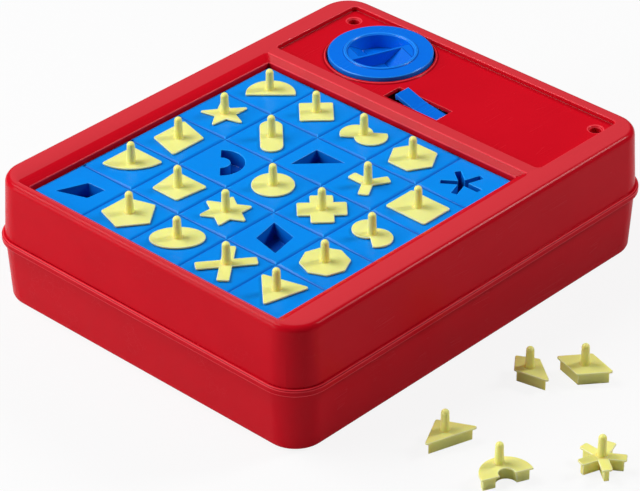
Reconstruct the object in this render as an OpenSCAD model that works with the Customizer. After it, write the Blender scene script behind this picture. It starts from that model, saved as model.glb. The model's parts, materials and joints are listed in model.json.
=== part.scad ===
// Clockwork shape-matching game: two-shell case, pop-up socket tray, pegged shape pieces and a
// wind-up timer that lets the tray go. Millimetres, +Z up, origin at the centre of the flat base.

/* [Case] */
// Length of the upper shell along X
case_len = 257.4; // [210:0.2:330]
// Width of the upper shell along Y
case_wid = 207.4; // [190:0.2:270]
// Height of the case from the table to the flat rim
case_h = 70; // [64:0.5:90]
// Radius of the upright corners
corner_r = 16.5; // [10:0.5:24]
// Thickness of the shell walls
wall = 2.4; // [1.6:0.1:3.5]
// Height of the seam between the two shells
seam_z = 37; // [28:0.2:40]
// How far the upper wall flares out from the rim down to the seam
upper_draft = 1.6; // [0:0.1:4]
// How far the seam lip stands out past the upper wall
lip_out = 2; // [0.5:0.1:4]
// Height of the upright face of the seam lip
lip_h = 3.5; // [2:0.1:6]
// Inset of the lower shell from the upper one, just under the lip
lower_inset = 0.2; // [0:0.1:2]
// Extra inset of the lower shell at the base, its draft
lower_draft = 1.8; // [0.5:0.1:6]
// Rounding of the rim's outer edge
rim_round = 3.6; // [1:0.1:4]

/* [Tray] */
// Distance between the middles of two neighbouring sockets
pitch = 33; // [30:0.5:40]
// Plain border round the grid of sockets
tray_border = 1; // [0.5:0.1:4]
// X of the middle of the tray
tray_x = -36.2; // [-45:0.1:-30]
// How far the tray top lies under the rim when latched down
tray_drop = 5.2; // [3:0.1:8]
// How far the tray springs up
tray_travel = 12; // [8:0.5:15]
// Thickness of the tray plate
tray_plate = 1.8; // [1.2:0.1:3]
// Depth of the tray's outer skirt
tray_skirt = 20.8; // [18:0.2:24]
// Gap between the tray and its well
tray_gap = 1; // [0.4:0.1:2]
// Width of the grooves that part the cells
groove_w = 3; // [1:0.1:5]
// Depth of those grooves
groove_d = 0.7; // [0.3:0.1:1.2]

/* [Well and panel] */
// Width of the sloping band round the well, front and back
band_wid = 5.6; // [3:0.1:8]
// Width of the sloping band at the two ends of the well
band_end = 3.6; // [2:0.1:5]
// Drop of the sloping band
band_drop = 2.8; // [1:0.1:4]
// Width of the flat divider between the well and the timer panel
divider_w = 7; // [5:0.1:14]
// Depth of the timer panel under the rim
panel_drop = 2.6; // [1.5:0.1:5]
// Width of the flat rim at the timer end
end_rim = 8.1; // [6:0.1:11]
// Corner radius of the timer panel
panel_r = 3; // [1:0.1:8]
// Diameter of the screw holes in the panel
panel_hole_d = 6.2; // [5:0.1:8]

/* [Pieces] */
// Thickness of a piece's flange
flange_t = 1; // [0.8:0.1:2.5]
// How far the flange stands out past the skirt
flange_lip = 1.3; // [0.8:0.1:2]
// Depth of the skirt under the flange
skirt_h = 6.3; // [4:0.1:9]
// Thickness of the skirt wall
skirt_wall = 1.2; // [0.8:0.1:2]
// Play between a skirt and its socket
socket_play = 0.35; // [0.3:0.05:0.6]
// Diameter of the pegs
peg_d = 4.6; // [3.5:0.1:6]
// Height of a peg above the flange
peg_h = 11.8; // [8:0.1:20]
// Depth of a socket under the tray top
socket_h = 8.2; // [6.5:0.1:11]

/* [Dial and timer] */
// Radius of the timer dial
dial_r = 27.8; // [24:0.1:28]
// Thickness of the dial's flat outer ring
dial_ring_t = 2; // [1.5:0.1:4]
// Outer radius of the bead round the finger bowl
bead_r = 19.7; // [17:0.1:22]
// Radius of the finger bowl
bowl_r = 17.6; // [14:0.1:18.5]
// Depth of the finger bowl
bowl_depth = 7.6; // [5:0.1:9]
// Thickness of the grip's ridge
grip_t = 1.8; // [1.2:0.1:4]
// Gap between the dial and its collar
dial_gap = 0.7; // [0.4:0.1:1.5]
// Height of the collar over the panel
collar_h = 0.9; // [0.4:0.1:2]
// Wall of the collar round the dial
collar_wall = 1.3; // [1:0.1:2.5]
// Y of the dial's axis
dial_y = 46; // [40:0.5:52]
// Radius of the dial shaft
shaft_r = 3; // [2.4:0.1:4]
// Tooth module of the timer's wheels
tooth_m = 1.1; // [0.9:0.05:1.2]
// Teeth of the great wheel and of the second wheel
wheel_teeth = 40; // [32:2:44]
// Leaves of the pinions
pinion_teeth = 10; // [8:1:12]
// Teeth of the escape wheel
escape_teeth = 15; // [11:2:19]

/* [Start switch] */
// Length of the switch window along Y
window_len = 35.8; // [28:0.2:38]
// Width of the switch window along X
window_wid = 11.6; // [8:0.1:14]
// Angle between the rocker's two halves
rocker_vee = 11.5; // [6:0.5:20]
// Lean of the rocker at rest, to either side
rocker_lean = 12.3; // [8:0.1:16]
// Thickness of the rocker plate
rocker_t = 2.2; // [1.5:0.1:3]

/* [Hidden] */
$fn = 48;
fit = 0.3;
eps = 0.01;
rows = 5;

// Shapes in the tray's order, from the back row to the front, each row from the far end
// of the tray to the timer panel.
SHAPES = [
    "kite", "sector", "parallelogram", "star", "dome",
    "pentagon", "trapezoid", "half_ring", "pill", "square",
    "oval", "six_star", "round", "right_triangle", "wave",
    "saltire", "rhombus", "plus", "tripod", "hexagon",
    "triangle", "octagon", "scroll", "rectangle", "asterisk"
];
// Shapes whose arms are too slim for a hollow skirt.
SLIM = ["star", "saltire", "tripod", "asterisk"];
// Loose pieces: shape, place of the peg cell on the table, turn.
LOOSE = [
    ["kite", [-4.4, -140.4], 124],
    ["right_triangle", [-70.5, -147.4], 27],
    ["rhombus", [15.7, -158.3], 62],
    ["half_ring", [-75.8, -185.8], 112],
    ["asterisk", [-36.4, -211.1], 34]
];

red = [0.80, 0.06, 0.09];
blue = [0.05, 0.42, 0.90];
yellow = [0.93, 0.90, 0.48];
brass = [0.80, 0.66, 0.32];
steel = [0.70, 0.71, 0.73];

// Case levels and places
tray_size = rows * pitch + 2 * tray_border;
tray_top = case_h - tray_drop;
ledge_z = case_h - band_drop;
well_half = tray_size / 2 + tray_gap;
throat_wall = 2;
well_end = tray_x + well_half;
panel_x0 = well_end + band_end + divider_w;
panel_x1 = case_len / 2 - end_rim;
panel_half = well_half + band_wid;
panel_z = case_h - panel_drop;
panel_t = 2.2;
cavity_z = case_h - wall;
case_floor = 2.4;
base_round = 2.3;
hole_flare = 0.9;

// Tray levels
tray_foot = tray_top - tray_skirt;
tray_wall = 1.6;
tab_t = 2;
tab_out = 3.2;
throat_z = tray_foot + tab_t + tray_travel + fit;
cup_wall = 1.1;
cup_floor = 1.2;
sleeve_x = 1.5 * pitch;
post_r = 2.6;
sleeve_r = 4.6;
sleeve_z = 40;
sleeve_flange_r = 8.6;
sleeve_flange_t = 1.6;
spring_r = 6.6;
spring_wire = 1.2;
spring_seat_z = case_floor + 2;

// Timer places
dial_x = (panel_x0 + panel_x1) / 2 + 2.9;
dial_top = case_h + 0.4;
collar_in = dial_r + dial_gap;
collar_out = collar_in + collar_wall;
bowl_t = 1.6;
dial_hub = 3.4;
dial_low = dial_top - bowl_depth - bowl_t;
dial_well_z = dial_low - dial_hub - 0.8;
dial_well_t = 2;
plate_t = 1.5;
plate_top_z = dial_well_z - dial_well_t - 7;
plate_low_z = plate_top_z - 22;
gear_run = tooth_m * (wheel_teeth + pinion_teeth) / 2;
second_y = dial_y - gear_run;
escape_y = second_y - gear_run;
wheel_t = 1.6;
great_z = plate_top_z - 4.6;
second_z = great_z - 5;
escape_z = second_z - 5;
arbor_r = 1.2;
escape_r = 8.6;
pallet_at = [dial_x + 14.5, escape_y + 1];
frame_half = 24.5;
frame_y0 = escape_y - 19;
frame_y1 = dial_y + 24;
pillar_r = 2.4;
FRAME_PILLARS = [for (x = [-1, 1], y = [frame_y0 + 5, frame_y1 - 5]) [dial_x + x * (frame_half - 5), y]];
FRAME_SCREWS = [for (x = [-1, 1], y = [frame_y0 + 4, frame_y1 - 4]) [dial_x + x * 11, y]];

// Latch under the timer
cam_z = plate_low_z - 6;
cam_t = 2.4;
cam_r = 13;
latch_w = 8;
latch_t = 2;
latch_play = 0.4;
latch_run = 3.6;
latch_x0 = well_end - tray_gap + 0.6;
latch_x1 = dial_x - cam_r - latch_play;
latch_z = cam_z + (cam_t - latch_t) / 2;
catch_deep = 4.4;
catch_w = 9;
guide_x = [latch_x0 + 5, latch_x1 - 9];
stop_t = 2;
latch_tab_t = 1.6;
latch_tab_x = dial_x - frame_half - latch_tab_t - 0.5;
stop_x = latch_tab_x - stop_t - 8.6;

// Switch
window_x = panel_x0 + 10.2;
window_y = -1.1;
rocker_gap = 0.9;
rocker_z = panel_z - 3.1;
pin_y = window_y - 1.6;
pin_r = 1;

// Screws
screw_r = 1.5;
screw_head_r = 3;
screw_head_t = 1.8;
screw_len = 14;
boss_r = 4.2;
TOP_SCREWS = [[panel_x1 - 9.5, panel_half - 8], [panel_x1 - 9.5, -panel_half + 6.3]];
BASE_SCREWS = [for (x = [-1, 1], y = [-1, 1])
    [x < 0 ? -case_len / 2 + 12 : well_end + band_end + divider_w / 2, y * (case_wid / 2 - 11.5)]];
boss_z = seam_z - 6;

// ---- Outline helpers ----

function unit(v) = v / norm(v);
function polar(r, a) = [r * cos(a), r * sin(a)];
// Corner c of a counter-clockwise outline, moved out by g, between neighbours a and b.
function grown_corner(a, c, b, g) =
    let (u = unit(c - a), v = unit(b - c), nu = [u.y, -u.x], nv = [v.y, -v.x])
    c + g * (nu + nv) / (1 + nu * nv);
function grown(pts, g) =
    let (n = len(pts))
    [for (i = [0:n - 1]) grown_corner(pts[(i + n - 1) % n], pts[i], pts[(i + 1) % n], g)];
// Arc of radius r that rounds corner c; a corner that bends inward stays sharp.
function round_corner(a, c, b, r, steps = 3) =
    let (u = unit(c - a), v = unit(b - c), bend = u.x * v.y - u.y * v.x)
    bend <= 0.05 || r <= 0 ? [c] :
    let (turn = acos(u * v), t = r * tan(turn / 2), start = c - u * t, mid = start + r * [-u.y, u.x])
    [for (k = [0:steps]) mid + polar(r, atan2(-u.x, u.y) + turn * k / steps)];
function rounded(pts, r) =
    let (n = len(pts))
    [for (i = [0:n - 1]) each round_corner(pts[(i + n - 1) % n], pts[i], pts[(i + 1) % n], r)];
function ngon(n, r, turn) = [for (k = [0:n - 1]) polar(r, turn + 360 * k / n)];
function star(n, tip, notch, turn) =
    [for (k = [0:2 * n - 1]) polar(k % 2 == 0 ? tip : notch, turn + 180 * k / n)];
function box_points(x, y) = [[-x, -y], [x, -y], [x, y], [-x, y]];

module shape_of(pts, grow, r) {
    polygon(rounded(grown(pts, grow), r));
}
module half_plane(dir, dist) {
    rotate(dir)
        translate([-dist, -60])
            square([120, 120]);
}

// ---- The twenty-five outlines, at the size of the flange; grow moves the edge out or in ----

module kite_2d(grow, r) {
    tip = 18;
    blunt = 9.4;
    half = 8;
    translate([1.5, -2.1])
        rotate(134)
            shape_of([[tip, 0], [0, half], [-blunt, 0], [0, -half]], grow, r);
}
module sector_2d(grow, r) {
    apex = [11, 10.5];
    radius = 21.3;
    intersection() {
        translate(apex)
            circle(radius + grow, $fn = 96);
        translate(apex + [grow, grow] - [radius, radius] / 2)
            shape_of(box_points(radius / 2, radius / 2), 0, r);
        translate(apex)
            rotate(225)
                translate([radius - 3.4 + grow, 0])
                    square([2 * radius, 1.46 * radius + 2 * grow], center = true);
    }
}
module parallelogram_2d(grow, r) {
    half = 10.9;
    lean = 2.5;
    high = 9.6;
    shape_of([[-half - lean, -high], [half - lean, -high], [half + lean, high], [-half + lean, high]], grow, r);
}
module star_2d(grow, r) {
    shape_of(star(5, 13.8, 5.7, 51), grow, r * 0.7);
}
module dome_2d(grow, r) {
    translate([-2.4, -2.9])
        intersection() {
            circle(12.9 + grow, $fn = 72);
            half_plane(43, 1.6 + grow);
        }
}
module pentagon_2d(grow, r) {
    shape_of(ngon(5, 14.1, -90), grow, r);
}
module trapezoid_2d(grow, r) {
    shape_of([[-9.5, -8.5], [9.4, -10.8], [9.4, 10.8], [-9.5, 8.5]], grow, r);
}
module half_ring_2d(grow, r) {
    translate([-1.5, 1.8])
        intersection() {
            difference() {
                circle(13.2 + grow, $fn = 72);
                circle(4 - grow);
            }
            half_plane(-47, 1 + grow);
        }
}
module pill_2d(grow, r) {
    reach = 9.2;
    end_r = 5.85;
    rotate(45) {
        for (side = [-1, 1])
            translate([side * reach, 0])
                circle(end_r + grow);
        square([2 * reach, 2 * (end_r + grow)], center = true);
    }
}
module square_2d(grow, r) {
    rotate(45)
        shape_of(box_points(8.75, 8.75), grow, r);
}
module oval_2d(grow, r) {
    long = 13.6 + grow;
    short = 9.3 + grow;
    rotate(-45)
        polygon([for (k = [0:47]) [long * cos(7.5 * k), short * sin(7.5 * k)]]);
}
module six_star_2d(grow, r) {
    shape_of(star(6, 13.9, 7.9, 90), grow, r * 0.8);
}
module round_2d(grow, r) {
    circle(10.8 + grow, $fn = 72);
}
module right_triangle_2d(grow, r) {
    shape_of([[8, -12.6], [8, 9.1], [-13.7, 9.1]], grow, r);
}
// Two discs side by side, each cut flat on its own side of the line between them.
module twin_lobe_2d(radius, apart, cut, turn, grow) {
    for (side = [0, 180])
        rotate(side)
            intersection() {
                translate(apart)
                    circle(radius + grow, $fn = 60);
                half_plane(turn, cut + grow);
            }
}
module wave_2d(grow, r) {
    translate([-0.6, -0.4])
        twin_lobe_2d(8.6, [-1.5, 3.6], 2.4, 37, grow);
}
module scroll_2d(grow, r) {
    translate([0.5, 0.2])
        twin_lobe_2d(8.3, [-1.7, -4], 1.5, -40, grow);
}
module bars_2d(angles, reach, half, grow, r) {
    for (a = angles)
        rotate(a)
            shape_of(box_points(reach, half), grow, r);
}
// Arms whose inner ends pass the middle, so that they join there however they are grown.
module arms_2d(angles, reach, half, grow, r) {
    for (a = angles)
        rotate(a)
            translate([(reach - half) / 2, 0])
                shape_of(box_points((reach + half) / 2, half), grow, r);
}
module saltire_2d(grow, r) {
    bars_2d([38, -38], 15, 3.05, grow, r);
}
module rhombus_2d(grow, r) {
    long = 15.3;
    short = 10;
    rotate(45)
        shape_of([[long, 0], [0, short], [-long, 0], [0, -short]], grow, r);
}
module plus_2d(grow, r) {
    bars_2d([45, -45], 12.3, 5.8, grow, r);
}
module tripod_2d(grow, r) {
    arms_2d([90, 210, 330], 11.2, 2.8, grow, r);
}
module hexagon_2d(grow, r) {
    shape_of(ngon(6, 13, 90), grow, r);
}
module triangle_2d(grow, r) {
    translate([1.1, 0])
        shape_of(ngon(3, 15, 76), grow, r);
}
module octagon_2d(grow, r) {
    shape_of(ngon(8, 12.4, 3), grow, r);
}
module rectangle_2d(grow, r) {
    shape_of(box_points(9.6, 12.6), grow, r);
}
module asterisk_2d(grow, r) {
    arms_2d([for (k = [0:4]) 72 * k - 18], 11.9, 2.6, grow, r);
}

module outline(name, grow = 0, r = 0) {
    if (name == "kite") kite_2d(grow, r);
    if (name == "sector") sector_2d(grow, r);
    if (name == "parallelogram") parallelogram_2d(grow, r);
    if (name == "star") star_2d(grow, r);
    if (name == "dome") dome_2d(grow, r);
    if (name == "pentagon") pentagon_2d(grow, r);
    if (name == "trapezoid") trapezoid_2d(grow, r);
    if (name == "half_ring") half_ring_2d(grow, r);
    if (name == "pill") pill_2d(grow, r);
    if (name == "square") square_2d(grow, r);
    if (name == "oval") oval_2d(grow, r);
    if (name == "six_star") six_star_2d(grow, r);
    if (name == "round") round_2d(grow, r);
    if (name == "right_triangle") right_triangle_2d(grow, r);
    if (name == "wave") wave_2d(grow, r);
    if (name == "saltire") saltire_2d(grow, r);
    if (name == "rhombus") rhombus_2d(grow, r);
    if (name == "plus") plus_2d(grow, r);
    if (name == "tripod") tripod_2d(grow, r);
    if (name == "hexagon") hexagon_2d(grow, r);
    if (name == "triangle") triangle_2d(grow, r);
    if (name == "octagon") octagon_2d(grow, r);
    if (name == "scroll") scroll_2d(grow, r);
    if (name == "rectangle") rectangle_2d(grow, r);
    if (name == "asterisk") asterisk_2d(grow, r);
}

// ---- Pieces ----

function listed(list, name) = len([for (n = list) if (n == name) n]) > 0;
function place_in(list, name) = [for (k = [0:len(list) - 1]) if (list[k] == name) k][0];
function cell_of(k) = [tray_x + (k % rows - 2) * pitch, (2 - floor(k / rows)) * pitch];
function peg_of(name) = name == "half_ring" ? [4.4, -4.5] : name == "right_triangle" ? [0.8, 2.7] : [0, 0];

// Peg with a filleted root and a rounded top, standing on z = 0.
module peg() {
    radius = peg_d / 2;
    root = 0.8;
    dome_steps = 5;
    rotate_extrude($fn = 32)
        polygon(concat(
            [[0, -0.2], [radius + root, -0.2], [radius + root, 0], [radius + root * 0.3, root * 0.3],
                [radius, root]],
            [for (k = [0:dome_steps])
                let (a = 90 * k / dome_steps)
                [radius * cos(a), peg_h - radius * 0.8 + radius * 0.8 * sin(a)]]));
}

// One piece with the underside of its flange at z = 0.
module game_piece(name) {
    linear_extrude(flange_t)
        outline(name, 0, 1);
    translate([0, 0, -skirt_h])
        linear_extrude(skirt_h + eps)
            difference() {
                outline(name, -flange_lip);
                if (!listed(SLIM, name))
                    outline(name, -flange_lip - skirt_wall);
            }
    translate([peg_of(name).x, peg_of(name).y, flange_t])
        peg();
}

module placed_piece(name) {
    k = place_in(SHAPES, name);
    at = [for (row = LOOSE) if (row[0] == name) row];
    color(yellow)
        if (len(at) == 1)
            translate([at[0][1].x, at[0][1].y, skirt_h])
                rotate(at[0][2])
                    game_piece(name);
        else
            translate([cell_of(k).x, cell_of(k).y, tray_top + fit])
                game_piece(name);
}

// ---- Case ----

module rounded_rect(x, y, r) {
    square([x, y - 2 * r], center = true);
    square([x - 2 * r, y], center = true);
    for (sx = [-1, 1], sy = [-1, 1])
        translate([sx * (x / 2 - r), sy * (y / 2 - r)])
            circle(r);
}
module case_slab(z, inset, h = eps) {
    translate([0, 0, z])
        linear_extrude(h)
            rounded_rect(case_len - 2 * inset, case_wid - 2 * inset, corner_r - inset, $fn = 48);
}
// Block from x0 to x1 and over both half widths, from z0 to z1, with upright edges of radius r.
module soft_block(x0, x1, half, z0, z1, r) {
    translate([(x0 + x1) / 2, 0, z0])
        linear_extrude(z1 - z0)
            rounded_rect(x1 - x0, 2 * half, r);
}
module at_each(points, z = 0) {
    for (p = points)
        translate([p.x, p.y, z])
            children();
}
module boss(z0, z1, r = boss_r) {
    translate([0, 0, z0])
        cylinder(r = r, h = z1 - z0);
}
module tray_posts() {
    for (x = [-1, 1], y = [-1, 1])
        translate([tray_x + x * sleeve_x, y * sleeve_x, 0])
            children();
}

module case_bottom() {
    outer = lower_inset - upper_draft;
    inner = outer + wall;
    tongue = wall - upper_draft + fit + 0.2;
    color(red)
        difference() {
            union() {
                difference() {
                    union() {
                        hull() {
                            case_slab(0, outer + lower_draft + base_round);
                            case_slab(base_round * 0.3, outer + lower_draft + base_round * 0.29);
                            case_slab(base_round, outer + lower_draft);
                            case_slab(seam_z - lip_h - 1, outer);
                        }
                        hull() {
                            case_slab(seam_z - lip_h - 1.2, outer);
                            case_slab(seam_z - lip_h, outer - lip_out);
                            case_slab(seam_z - 0.6, outer - lip_out);
                            case_slab(seam_z - eps, outer - lip_out + 0.6);
                        }
                    }
                    hull() {
                        case_slab(case_floor, inner + lower_draft);
                        case_slab(seam_z + 1, inner);
                    }
                }
                // Tongue that locates the upper shell.
                difference() {
                    union() {
                        case_slab(seam_z - 4, inner - 1, 4);
                        case_slab(seam_z - eps, tongue, 3);
                    }
                    case_slab(seam_z - 5, tongue + 1.4, 9);
                }
                tray_posts() {
                    boss(case_floor - eps, tray_foot + 6, post_r);
                    boss(case_floor - eps, spring_seat_z, spring_r + 2);
                }
                at_each(BASE_SCREWS)
                    boss(case_floor - eps, boss_z);
                at_each(TOP_SCREWS)
                    boss(case_floor - eps, boss_z);
                latch_guides();
            }
            at_each(BASE_SCREWS) {
                boss(-1, boss_z + 1, screw_r + 0.15);
                boss(-1, boss_z - screw_len + 6, screw_head_r + 0.5);
            }
            at_each(TOP_SCREWS)
                boss(boss_z - 12, boss_z + 1, screw_r + 0.05);
        }
}

module latch_guides() {
    cheek = 2;
    for (x = guide_x)
        translate([x - 2, dial_y, case_floor - eps])
            difference() {
                translate([0, -latch_w / 2 - fit - cheek, 0])
                    cube([4, latch_w + 2 * (fit + cheek), latch_z + latch_t + 2 - case_floor]);
                translate([-1, -latch_w / 2 - fit, latch_z - fit - case_floor])
                    cube([6, latch_w + 2 * fit, 20]);
            }
    translate([stop_x, dial_y - latch_w / 2 - fit - cheek, case_floor - eps])
        difference() {
            cube([stop_t, latch_w + 2 * (fit + cheek), latch_z + latch_t + 7 - case_floor]);
            translate([-1, cheek, latch_z - fit - case_floor])
                cube([stop_t + 2, latch_w + 2 * fit, latch_t + 2 * fit]);
        }
}

module case_top() {
    color(red)
        difference() {
            union() {
                difference() {
                    hull() {
                        case_slab(seam_z, -upper_draft);
                        for (turn = [0:22.5:90])
                            case_slab(case_h - rim_round * (1 - sin(turn)) - eps, rim_round * (1 - cos(turn)));
                    }
                    hull() {
                        case_slab(seam_z - 1, wall - upper_draft);
                        case_slab(cavity_z - rim_round, wall);
                        case_slab(cavity_z, wall + rim_round * 0.6);
                    }
                }
                soft_block(tray_x - well_half - throat_wall, well_end + throat_wall,
                    well_half + throat_wall, throat_z, case_h - 2, 2);
                soft_block(tray_x - well_half - throat_wall, panel_x1 + throat_wall,
                    panel_half + 1.6, ledge_z - throat_wall, case_h - 2, 2);
                soft_block(panel_x0 - throat_wall, panel_x1 + throat_wall, panel_half + throat_wall,
                    panel_z - panel_t, case_h - 2, panel_r + 1);
                translate([dial_x, dial_y, 0])
                    boss(dial_well_z - dial_well_t, panel_z, collar_out);
                at_each(BASE_SCREWS)
                    boss(boss_z, cavity_z + eps);
                at_each(TOP_SCREWS)
                    boss(boss_z, panel_z - eps, panel_hole_d / 2 + 1.4);
                at_each(FRAME_SCREWS)
                    boss(plate_top_z + plate_t, panel_z - 0.5, 3.2);
                switch_ears();
            }
            well_cut();
            panel_cut();
            translate([dial_x, dial_y, 0]) {
                boss(dial_well_z, case_h + 1, collar_in);
                boss(dial_well_z - 5, case_h, shaft_r + fit);
            }
            translate([window_x - window_wid / 2, window_y - window_len / 2, panel_z - 9])
                cube([window_wid, window_len, 20]);
            at_each(BASE_SCREWS)
                boss(boss_z - 1, boss_z + 9, screw_r + 0.05);
            at_each(TOP_SCREWS) {
                boss(boss_z - 1, case_h, screw_r + 0.15);
                boss(boss_z + 4, case_h, panel_hole_d / 2);
                translate([0, 0, panel_z - hole_flare])
                    cylinder(r1 = panel_hole_d / 2, r2 = panel_hole_d / 2 + hole_flare + 0.1, h = hole_flare + 0.1);
            }
            at_each(FRAME_SCREWS)
                boss(plate_top_z, plate_top_z + plate_t + 5, screw_r + 0.05);
            pin_line(pin_r + 0.02, 30);
        }
}

module well_cut() {
    x0 = tray_x - well_half;
    soft_block(x0, well_end, well_half, seam_z, case_h, 0.8);
    hull() {
        soft_block(x0, well_end, well_half, ledge_z, ledge_z + eps, 0.8);
        soft_block(x0 - band_end, well_end + band_end, well_half + band_wid,
            case_h, case_h + eps, 2.4);
    }
}

// The panel is cut down all over but for the collar that stands round the dial.
module panel_cut() {
    top = panel_z + collar_h;
    difference() {
        soft_block(panel_x0, panel_x1, panel_half, panel_z, case_h + 1, panel_r);
        translate([dial_x, dial_y, 0])
            rotate_extrude($fn = 96)
                polygon([[0, 0], [collar_out + 0.3, 0], [collar_out + 0.3, panel_z], [collar_out, top - 0.4],
                    [collar_out - 0.4, top], [collar_in + 0.3, top], [collar_in, top - 0.3], [0, top - 0.3]]);
    }
}

// ---- Tray ----

module vee(len) {
    rotate([90, 0, 0])
        linear_extrude(len, center = true)
            polygon([[-groove_w / 2, eps], [0, -groove_d], [groove_w / 2, eps]]);
}

module pop_up_tray() {
    half = tray_size / 2;
    color(blue) {
        tray_catch();
        difference() {
            union() {
                soft_block(tray_x - half, tray_x + half, half, tray_foot, tray_top, 0.8);
                // Tabs that stop the tray under the throat of the case.
                for (turn = [0, 90, 180, 270], side = [-1, 1])
                    translate([tray_x, 0, tray_foot])
                        rotate(turn)
                            translate([half - 1, side * half * 0.55 - 6, 0])
                                cube([tab_out + 1, 12, tab_t]);
            }
            difference() {
                soft_block(tray_x - half + tray_wall, tray_x + half - tray_wall, half - tray_wall,
                    tray_foot - 1, tray_top - tray_plate, 0.8);
                for (k = [0:len(SHAPES) - 1])
                    translate([cell_of(k).x, cell_of(k).y, tray_top - socket_h - cup_floor])
                        linear_extrude(socket_h)
                            outline(SHAPES[k], socket_play - flange_lip + cup_wall);
                tray_posts() {
                    boss(sleeve_z, tray_top - 1, sleeve_r);
                    boss(sleeve_z, sleeve_z + sleeve_flange_t, sleeve_flange_r);
                }
            }
            for (k = [0:len(SHAPES) - 1])
                translate([cell_of(k).x, cell_of(k).y, tray_top - socket_h])
                    linear_extrude(socket_h + 1)
                        outline(SHAPES[k], socket_play - flange_lip);
            for (i = [-1.5:1:1.5]) {
                translate([tray_x + i * pitch, 0, tray_top])
                    vee(tray_size - 1.2);
                translate([tray_x, i * pitch, tray_top])
                    rotate(90)
                        vee(tray_size - 1.2);
            }
            tray_posts()
                boss(sleeve_z - 1, tray_foot + 8, post_r + fit);
        }
    }
}

// Leg under the tray's edge with the notch that the latch enters.
module tray_catch() {
    deep = catch_deep + 2;
    lip = 3;
    low = latch_z - fit - lip;
    translate([tray_x + tray_size / 2 - deep, dial_y - catch_w / 2, 0])
        difference() {
            translate([0, 0, low])
                cube([deep, catch_w, tray_foot + 6 - low]);
            translate([deep - catch_deep, -1, latch_z - fit])
                cube([catch_deep + 1, catch_w + 2, latch_t + 2 * fit]);
        }
}

// Round-wire coil: turns of radius r rising along Z from 0 to high.
module coil(r, wire, high, turns, steps = 12, sides = 6) {
    rings = turns * steps;
    points = [for (i = [0:rings], j = [0:sides - 1])
        let (a = 360 * i / steps, b = 360 * j / sides, out = r + wire / 2 * cos(b))
        [out * cos(a), out * sin(a), wire / 2 + (high - wire) * i / rings + wire / 2 * sin(b)]];
    walls = [for (i = [0:rings - 1], j = [0:sides - 1])
        let (a = i * sides + j, b = i * sides + (j + 1) % sides)
        [a, b, b + sides, a + sides]];
    first = [[for (j = [sides - 1:-1:0]) j]];
    last = [[for (j = [0:sides - 1]) rings * sides + j]];
    polyhedron(points, concat(walls, first, last));
}

module tray_springs() {
    color(steel)
        tray_posts()
            translate([0, 0, spring_seat_z + fit])
                coil(spring_r, spring_wire, sleeve_z - spring_seat_z - 2 * fit, 6);
}

// ---- Timer dial and clockwork ----

// Finger grip: a ridge across the bowl and, on either side of it, a ramp down to the bowl's floor.
module grip() {
    floor_z = dial_low + bowl_t - eps;
    top = dial_top - 0.6;
    reach = bowl_r + 1;
    foot = 2;
    brow = 12.2;
    run = (brow - foot) / (top - floor_z);
    intersection() {
        boss(dial_low + 0.2, top, bowl_r + 0.4);
        rotate(-20.5) {
            translate([-reach, -grip_t / 2, dial_low])
                cube([2 * reach, grip_t, top - dial_low + 1]);
            for (side = [0, 180])
                rotate([90, 0, side])
                    linear_extrude(reach)
                        polygon([[foot, floor_z - 1], [foot, floor_z], [brow + run, top + 1],
                            [reach, top + 1], [reach, floor_z - 1]]);
        }
    }
}

module timer_dial() {
    low = dial_low;
    bowl_out = bowl_r + bowl_t;
    bead = 0.7;
    color(blue)
        translate([dial_x, dial_y, 0])
            difference() {
                union() {
                    rotate_extrude($fn = 96)
                        polygon([
                            [0, low], [bowl_out - 0.8, low], [bowl_out, low + 0.8],
                            [bowl_out, dial_top - dial_ring_t], [dial_r - 1.4, dial_top - dial_ring_t],
                            [dial_r - 1.4, dial_top - dial_ring_t - 1], [dial_r, dial_top - dial_ring_t - 1],
                            [dial_r, dial_top - 0.6], [dial_r - 0.2, dial_top - 0.2], [dial_r - 0.6, dial_top],
                            [bead_r, dial_top], [bead_r - 0.4, dial_top + bead],
                            [bowl_r + 0.7, dial_top + bead], [bowl_r, dial_top], [bowl_r - 0.6, low + bowl_t],
                            [0, low + bowl_t]
                        ]);
                    boss(low - dial_hub, low + eps, shaft_r + 1.4);
                    grip();
                }
                boss(low - dial_hub - 1, low + 0.8, shaft_r + 0.02);
            }
}

module dial_shaft() {
    color(steel)
        translate([dial_x, dial_y, 0]) {
            boss(cam_z - 2, dial_low + 0.7, shaft_r);
            // Cam whose rim holds the latch in, and whose notch lets it spring back.
            difference() {
                boss(cam_z, cam_z + cam_t, cam_r);
                translate([-cam_r - 3, -latch_w / 2 - 1, cam_z - 1])
                    cube([6, latch_w + 2, cam_t + 2]);
            }
        }
}

// Toothed disc of n teeth; a tooth points along turn. Flanks are straight and eased for free running.
module toothed_2d(n, turn) {
    outer = tooth_m * (n / 2 + 0.75);
    mid = tooth_m * n / 2;
    root = tooth_m * (n / 2 - 1.15);
    full = 360 / n;
    polygon([for (k = [0:n - 1])
        each [
            polar(root, turn + full * (k - 0.31)), polar(mid, turn + full * (k - 0.21)),
            polar(outer, turn + full * (k - 0.09)), polar(outer, turn + full * (k + 0.09)),
            polar(mid, turn + full * (k + 0.21)), polar(root, turn + full * (k + 0.31))
        ]]);
}

module spoked_wheel(n, turn, bore) {
    rim = tooth_m * (n / 2 - 1.15) - 2.4;
    hub = bore + 3;
    linear_extrude(wheel_t)
        difference() {
            toothed_2d(n, turn);
            circle(bore);
            for (k = [0:3])
                rotate(45 + 90 * k)
                    intersection() {
                        difference() {
                            circle(rim);
                            circle(hub);
                        }
                        rotate(-36)
                            square([40, 40]);
                        rotate(-54)
                            square([40, 40]);
                    }
        }
}

module great_wheel() {
    color(brass)
        translate([dial_x, dial_y, great_z])
            spoked_wheel(wheel_teeth, -90, shaft_r + 0.02);
}

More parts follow.
